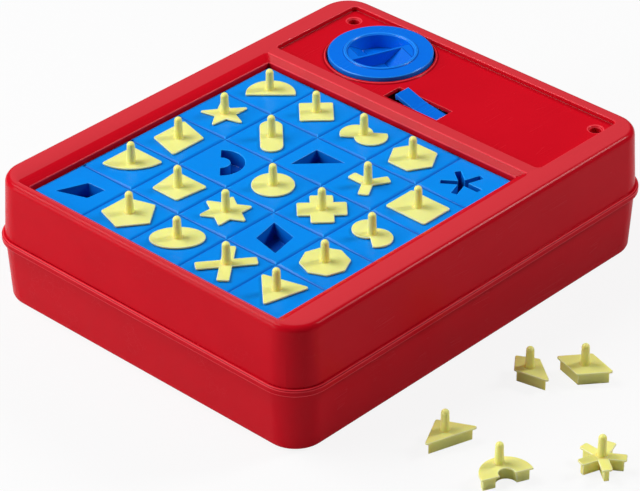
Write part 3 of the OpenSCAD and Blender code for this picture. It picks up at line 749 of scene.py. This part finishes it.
# ---------------------------------------------------------------------------
# Studio
# ---------------------------------------------------------------------------


@dataclass(frozen=True)
class Lamp:
    """A square soft lamp."""

    name: str
    place: Triple
    aim: Triple
    size: float
    power: float
    colour: Triple = (1, 1, 1)

    def build(self) -> None:
        """Adds the lamp to the scene."""
        data = bpy.data.lights.new(self.name, "AREA")
        data.shape = "SQUARE"
        data.size = self.size
        data.energy = self.power
        data.color = self.colour
        lamp = bpy.data.objects.new(self.name, data)
        bpy.context.scene.collection.objects.link(lamp)
        at = Vector(self.place)
        turn = (Vector(self.aim) - at).to_track_quat("-Z", "Y").to_matrix().to_4x4()
        lamp.matrix_world = Matrix.Translation(at) @ turn


@dataclass
class Studio:
    """Floor, lamps, world and camera."""

    eye: Vector = field(default_factory=lambda: Vector((-1.0014, -0.9451, 0.8998)))
    aim: Vector = field(default_factory=lambda: Vector((-0.04243, -0.03826, 0.05)))
    roll: float = math.radians(-0.24)
    lens: float = 181.6
    shift: tuple[float, float] = (-0.0018, -0.0002)
    floor_size: float = 6.0
    world_light: float = 0.08
    floor_glow: float = 0.87
    lamps: tuple[Lamp, ...] = (
        Lamp("key_right", (0.90, -0.60, 0.95), (0, 0, 0.05), 0.32, 9.5),
        Lamp("soft_left", (-1.3, 0.8, 0.6), (-0.1, 0, 0.03), 0.8, 11.0),
        Lamp("soft_top", (-0.5, 0.9, 1.4), (0, 0, 0.05), 0.9, 22.0),
    )

    def camera(self) -> None:
        """Places the camera and makes it the scene's own."""
        data = bpy.data.cameras.new("camera")
        data.lens = self.lens
        data.sensor_width = 36
        data.shift_x, data.shift_y = self.shift
        data.clip_end = 20
        camera = bpy.data.objects.new("camera", data)
        bpy.context.scene.collection.objects.link(camera)
        look = (self.aim - self.eye).to_track_quat("-Z", "Y").to_matrix().to_4x4()
        camera.matrix_world = Matrix.Translation(self.eye) @ look @ Matrix.Rotation(self.roll, 4, "Z")
        bpy.context.scene.camera = camera

    def floor(self) -> None:
        """Adds the pale floor, a hair under the part."""
        half = self.floor_size / 2
        shape = bmesh.new()
        places = ((-1, -1), (1, -1), (1, 1), (-1, 1))
        shape.faces.new([shape.verts.new((x * half, y * half, -0.0002)) for x, y in places])
        mesh = bpy.data.meshes.new("floor")
        shape.to_mesh(mesh)
        shape.free()
        floor = placed("floor", mesh)
        graph = Graph("floor_paper")
        graph.finish({"Base Color": (0.74, 0.74, 0.75, 1), "Roughness": 0.7, "Specular IOR Level": 0.2})
        seen = Value(graph, graph.node("ShaderNodeLightPath").outputs["Is Camera Ray"])
        glow = graph.node("ShaderNodeEmission", {}, {"Color": (1, 1, 1, 1), "Strength": 1.0})
        mixed = graph.node(
            "ShaderNodeMixShader", {},
            {0: seen * self.floor_glow, 1: graph.shader.outputs[0], 2: glow.outputs[0]})
        graph.feed(graph.output.inputs["Surface"], mixed.outputs[0])
        mesh.materials.append(graph.material)

    def world(self) -> None:
        """Lights everything dimly from all round, and shows white behind the part."""
        world = bpy.data.worlds.new("studio")
        world.use_nodes = True
        tree = Tree(world.node_tree)
        tree.tree.nodes.clear()
        path = tree.node("ShaderNodeLightPath")
        seen = Value(tree, path.outputs["Is Camera Ray"]).at_least(
            Value(tree, path.outputs["Is Transmission Ray"]))
        dim = tree.node(
            "ShaderNodeBackground", {}, {"Color": (0.95, 0.97, 1.0, 1), "Strength": self.world_light})
        white = tree.node("ShaderNodeBackground", {}, {"Color": (1, 1, 1, 1), "Strength": 1.0})
        mixed = tree.node("ShaderNodeMixShader", {}, {0: seen, 1: dim.outputs[0], 2: white.outputs[0]})
        tree.node("ShaderNodeOutputWorld", {}, {"Surface": mixed.outputs[0]})
        bpy.context.scene.world = world

    def build(self) -> None:
        """Builds the whole studio."""
        self.camera()
        self.floor()
        self.world()
        for lamp in self.lamps:
            lamp.build()
        bpy.context.scene.view_settings.view_transform = "Standard"


# ---------------------------------------------------------------------------
# Wire, strip and thread
# ---------------------------------------------------------------------------


class CoilRecipe(Recipe):
    """A compression spring standing on its place, its end turns closed."""

    def __init__(self, finish: Finish) -> None:
        """Builds the tree.

        Args:
            finish: The wire's finish.
        """
        super().__init__("coil_spring", ("Radius", "Wire", "Length", "Turns"))
        wire, length, turns = self.size("Wire"), self.size("Length"), self.size("Turns")
        ring = self.node(
            "GeometryNodeCurveSpiral", {},
            {"Resolution": 28, "Rotations": turns, "Start Radius": self.size("Radius"),
             "End Radius": self.size("Radius"), "Height": 0.0})
        along = Value(self, self.node("GeometryNodeSplineParameter").outputs["Factor"])
        closed = 1 / turns
        open_part = wire + (along - closed) * (length - wire * 3) / (1 - closed * 2)
        rise = open_part.at_least(wire * along * turns).at_most(length - wire - wire * turns * (1 - along))
        lifted = self.node(
            "GeometryNodeSetPosition", {},
            {"Geometry": ring.outputs[0], "Offset": self.vector(z=rise + wire * 0.5)})
        profile = self.node(
            "GeometryNodeCurvePrimitiveCircle", {}, {"Resolution": 10, "Radius": wire * 0.5})
        self.close(self.swept(lifted.outputs[0], profile.outputs[0]), finish)


class StripRecipe(Recipe):
    """A flat spring strip wound in a spiral round its place."""

    def __init__(self, finish: Finish) -> None:
        """Builds the tree.

        Args:
            finish: The strip's finish.
        """
        super().__init__("wound_strip", ("Inner", "Outer", "Turns", "Thickness", "Width"))
        spiral = self.node(
            "GeometryNodeCurveSpiral", {},
            {"Resolution": 40, "Rotations": self.size("Turns"), "Start Radius": self.size("Inner"),
             "End Radius": self.size("Outer"), "Height": 0.0})
        upright = self.node("GeometryNodeSetCurveNormal", {"mode": "Z_UP"}, {0: spiral.outputs[0]})
        profile = self.node(
            "GeometryNodeCurvePrimitiveQuadrilateral", {},
            {"Width": self.size("Thickness"), "Height": self.size("Width")})
        self.close(self.swept(upright.outputs[0], profile.outputs[0]), finish)


class ThreadRecipe(Recipe):
    """A screw's thread, which climbs from its place."""

    def __init__(self, finish: Finish) -> None:
        """Builds the tree.

        Args:
            finish: The screw's finish.
        """
        super().__init__("screw_thread", ("Radius", "Depth", "Pitch", "Length"))
        depth = self.size("Depth")
        middle = self.size("Radius") - depth
        helix = self.node(
            "GeometryNodeCurveSpiral", {},
            {"Resolution": 20, "Rotations": self.size("Length") / self.size("Pitch"),
             "Start Radius": middle, "End Radius": middle, "Height": self.size("Length")})
        upright = self.node("GeometryNodeSetCurveNormal", {"mode": "Z_UP"}, {0: helix.outputs[0]})
        profile = self.node("GeometryNodeCurvePrimitiveCircle", {}, {"Resolution": 4, "Radius": depth})
        self.close(self.swept(upright.outputs[0], profile.outputs[0]), finish)


# ---------------------------------------------------------------------------
# The game
# ---------------------------------------------------------------------------


@dataclass
class DressedNodes:
    """CAD nodes of one kind, softened and finished."""

    nodes: Sequence[str]
    finish: Finish
    softening: Softening

    def build(self) -> None:
        """Softens each node and installs it."""
        for node in self.nodes:
            Workshop.install(self.softening.apply(node), node, self.finish)


@dataclass
class ScrewSet:
    """Self-tapping screws of one node, each along Z."""

    node: str
    head_height: float = 1.8 * MM
    radius: float = 1.5 * MM
    core: float = 0.8
    thread_depth: float = 0.3 * MM
    pitch: float = 1.15 * MM
    softening: Softening = Softening(0.1 * MM)

    def slim(self, skin: bpy.types.Object, axis: Vector, head_up: bool, head_end: float) -> None:
        """Draws a screw's shank in to its core.

        Args:
            skin: The piece that holds the screws.
            axis: A point on the screw's axis.
            head_up: Whether the head is the upper end.
            head_end: Height of the head's flat.
        """
        for vertex in skin.data.vertices:
            out = Vector((vertex.co.x - axis.x, vertex.co.y - axis.y))
            past = (head_end - vertex.co.z) if head_up else (vertex.co.z - head_end)
            if out.length < self.radius * 1.05 and past > self.head_height + 0.3 * MM:
                vertex.co.x = axis.x + out.x * self.core
                vertex.co.y = axis.y + out.y * self.core

    def build(self) -> None:
        """Softens the screws, slims their shanks and winds a thread on each."""
        skin = self.softening.apply(self.node)
        places, turns, length = [], [], 0.0
        for solid in islands(self.node):
            low, high = corners(solid)
            axis = (low + high) / 2
            head_up = max(solid, key=lambda point: (point.xy - axis.xy).length).z > axis.z
            head_end = high.z if head_up else low.z
            self.slim(skin, axis, head_up, head_end)
            length = high.z - low.z - self.head_height - 3 * self.thread_depth
            step = self.head_height + self.thread_depth
            step = -step if head_up else step
            places.append((axis.x, axis.y, head_end + step))
            turns.append((math.pi, 0, 0) if head_up else (0, 0, 0))
        sizes = {"Radius": self.radius, "Depth": self.thread_depth, "Pitch": self.pitch, "Length": length}
        thread = ThreadRecipe(Finish.SCREW).bake(self.node + "_thread", sizes, places, turns)
        whole = bmesh.new()
        whole.from_mesh(skin.data)
        whole.from_mesh(thread.data)
        whole.to_mesh(skin.data)
        whole.free()
        bpy.data.objects.remove(thread)
        Workshop.install(skin, self.node, Finish.SCREW)


@dataclass
class CoilSprings:
    """Coil springs of one node, each between its body and another."""

    node: str
    wire: float
    turns: float
    body: str
    lying: bool = False

    def build(self) -> None:
        """Winds the springs and installs them, baked in place."""
        places, turns, radius, length = [], [], 0.0, 0.0
        for solid in islands(self.node):
            low, high = corners(solid)
            middle = (low + high) / 2
            if self.lying:
                radius, length = (high.y - low.y) / 2, high.x - low.x
                places.append((low.x, middle.y, middle.z))
                turns.append((0, math.pi / 2, 0))
            else:
                radius, length = (high.y - low.y) / 2, high.z - low.z
                places.append((middle.x, middle.y, low.z))
                turns.append((0, 0, 0))
        sizes = {"Radius": radius - self.wire / 2, "Wire": self.wire, "Length": length, "Turns": self.turns}
        coil = CoilRecipe(Finish.SPRING).bake(self.node + "_coils", sizes, places, turns)
        low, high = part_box(self.node)
        along = Vector((1, 0, 0)) if self.lying else Vector((0, 0, 1))
        reach = Reach(self.body, along * low.dot(along), along * high.dot(along))
        Workshop.install(coil, self.node, Finish.SPRING, reach)


@dataclass
class Case:
    """The red upper and lower shell and the screws that join them."""

    edge: Softening = Softening(0.45 * MM, 3)
    screws: ScrewSet = field(default_factory=lambda: ScrewSet("case_screws"))

    def build(self) -> None:
        """Builds the case."""
        DressedNodes(["case_bottom", "case_top"], Finish.RED_CASE, self.edge).build()
        self.screws.build()


@dataclass
class Tray:
    """The blue pop-up tray and the four springs under it."""

    edge: Softening = Softening(0.32 * MM, 3)
    springs: CoilSprings = field(default_factory=lambda: CoilSprings("tray_springs", 1.2 * MM, 7.5, "tray"))

    def build(self) -> None:
        """Builds the tray."""
        DressedNodes(["pop_up_tray"], Finish.BLUE_TRAY, self.edge).build()
        self.springs.build()


@dataclass
class Pieces:
    """The twenty-five pegged pieces."""

    edge: Softening = Softening(0.28 * MM, 3)
    peg_height: float = 11.8 * MM
    peg_taper: float = 0.16

    def taper(self, piece: bpy.types.Object) -> None:
        """Gives a peg the draft of its mould, which narrows it upwards.

        Args:
            piece: The piece, whose highest point is on the peg's axis.
        """
        tip = max((vertex.co for vertex in piece.data.vertices), key=lambda point: point.z).copy()
        foot = tip.z - self.peg_height
        for vertex in piece.data.vertices:
            share = (vertex.co.z - foot) / self.peg_height
            if share > 0:
                vertex.co.xy = tip.xy + (vertex.co.xy - tip.xy) * (1 - self.peg_taper * share)

    def build(self) -> None:
        """Builds the pieces."""
        for node in sorted(name for name in frame["nodes"] if name.startswith("piece_")):
            piece = self.edge.apply(node)
            self.taper(piece)
            Workshop.install(piece, node, Finish.YELLOW_PIECE)


@dataclass
class Timer:
    """The dial and the clockwork under it."""

    dial_edge: Softening = Softening(0.3 * MM, 3)
    plate_edge: Softening = Softening(0.15 * MM)
    wheel_edge: Softening = Softening(0.08 * MM)
    strip: float = 0.5 * MM
    strip_turns: float = 5.0
    screws: ScrewSet = field(default_factory=lambda: ScrewSet("timer_screws"))

    def mainspring(self) -> None:
        """Winds the mainspring round the dial's shaft."""
        low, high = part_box("mainspring")
        hole_low, hole_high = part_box("dial_shaft")
        middle = (hole_low + hole_high) / 2
        sizes = {
            "Inner": (hole_high.x - hole_low.x) / 2, "Outer": high.x - middle.x - self.strip / 2,
            "Turns": self.strip_turns, "Thickness": self.strip, "Width": high.z - low.z}
        place = (middle.x, middle.y, (low.z + high.z) / 2)
        strip = StripRecipe(Finish.SPRING).bake("mainspring_strip", sizes, [place], [(0, 0, 0)])
        Workshop.install(strip, "mainspring", Finish.SPRING)

    def build(self) -> None:
        """Builds the timer."""
        DressedNodes(["timer_dial"], Finish.BLUE_DIAL, self.dial_edge).build()
        wheels = ["great_wheel", "second_wheel", "escape_wheel", "pallet_lever"]
        DressedNodes(wheels, Finish.BRASS, self.wheel_edge).build()
        DressedNodes(["timer_frame"], Finish.PLATE, self.plate_edge).build()
        DressedNodes(["dial_shaft"], Finish.SCREW, self.wheel_edge).build()
        self.mainspring()
        self.screws.build()


@dataclass
class StartSwitch:
    """The rocker, its pin and the latch that holds the tray down."""

    rocker_edge: Softening = Softening(0.25 * MM, 3)
    metal_edge: Softening = Softening(0.1 * MM)
    spring: CoilSprings = field(
        default_factory=lambda: CoilSprings("latch_spring", 0.7 * MM, 8.0, "latch", lying=True))

    def build(self) -> None:
        """Builds the switch."""
        DressedNodes(["start_switch"], Finish.BLUE_DIAL, self.rocker_edge).build()
        DressedNodes(["switch_pin"], Finish.SCREW, self.metal_edge).build()
        DressedNodes(["latch_slide"], Finish.PLATE, self.metal_edge).build()
        self.spring.build()


def main() -> None:
    """Builds the studio and every piece of the game."""
    Studio().build()
    for group in (Case(), Tray(), Pieces(), Timer(), StartSwitch()):
        log.info("building %s", type(group).__name__)
        group.build()


if __name__ == "__main__":
    main()
